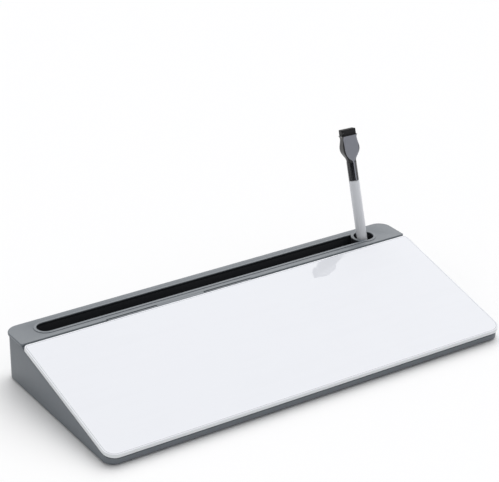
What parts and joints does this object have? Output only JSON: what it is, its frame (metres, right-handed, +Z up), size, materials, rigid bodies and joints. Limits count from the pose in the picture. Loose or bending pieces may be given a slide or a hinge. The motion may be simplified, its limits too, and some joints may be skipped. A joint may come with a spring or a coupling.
{
  "type": "desktop whiteboard",
  "caption": "Wedge-shaped desktop whiteboard: white glass lid hinged on a grey compartment tray, rear deck with a pen slot, and a marker with an eraser cap in its well.",
  "frame": {"origin": "middle of the footprint, on the table under the rubber feet", "axes": "+X to the right along the board, -Y towards the user, +Z up"},
  "size_m": [0.4004, 0.1948, 0.145],
  "materials": {
    "grey_plastic": "moulded, fine satin texture, slightly blue grey",
    "black_liner": "moulded, matt near black",
    "foot_rubber": "matt",
    "screw_steel": "dark zinc plated",
    "pin_steel": "drawn wire",
    "clear_glass": "polished, ground arris",
    "white_coat": "smooth white coat behind the glass",
    "leaf_plastic": "satin grey",
    "bond_tape": "foam tape",
    "clear_bumper": "clear soft",
    "marker_white": "semi gloss white",
    "marker_black": "gloss black",
    "nib_felt": "inked felt",
    "ink_fibre": "inked fibre",
    "eraser_felt": "pressed felt"
  },
  "bodies": {
    "tray": {"base_tray": "grey_plastic", "divider_long_left": "grey_plastic", "divider_long_right": "grey_plastic", "divider_full": "grey_plastic", "divider_short": "grey_plastic", "rear_deck": "grey_plastic", "slot_trough": "black_liner", "marker_cup": "black_liner", "foot_front_left": "foot_rubber", "foot_front_right": "foot_rubber", "foot_rear_left": "foot_rubber", "foot_rear_right": "foot_rubber", "deck_screws": "screw_steel", "hinge_pin": "pin_steel"},
    "lid": {"glass_panel": "clear_glass", "white_backing": "white_coat", "hinge_leaf": "leaf_plastic", "leaf_tape": "bond_tape", "bumper_left": "clear_bumper", "bumper_right": "clear_bumper"},
    "marker": {"marker_barrel": "marker_white", "marker_end_plug": "marker_black", "marker_nib_holder": "marker_black", "marker_nib": "nib_felt", "ink_reservoir": "ink_fibre"},
    "cap": {"marker_cap": "marker_black", "eraser_felt": "eraser_felt"}
  },
  "joints": [
    {"name": "lid_hinge", "type": "hinge", "parent": "tray", "child": "lid", "pos_m": [0, 0.04879, 0.04288], "axis": [-1, 0, 0], "range_deg": [0, 105]},
    {"name": "marker_lift", "type": "slide", "parent": "tray", "child": "marker", "axis": [0, 0.2706, 0.9627], "range_m": [0, 0.06]},
    {"name": "cap_pull", "type": "slide", "parent": "marker", "child": "cap", "axis": [0, 0.2706, 0.9627], "range_m": [0, 0.035]}
  ]
}
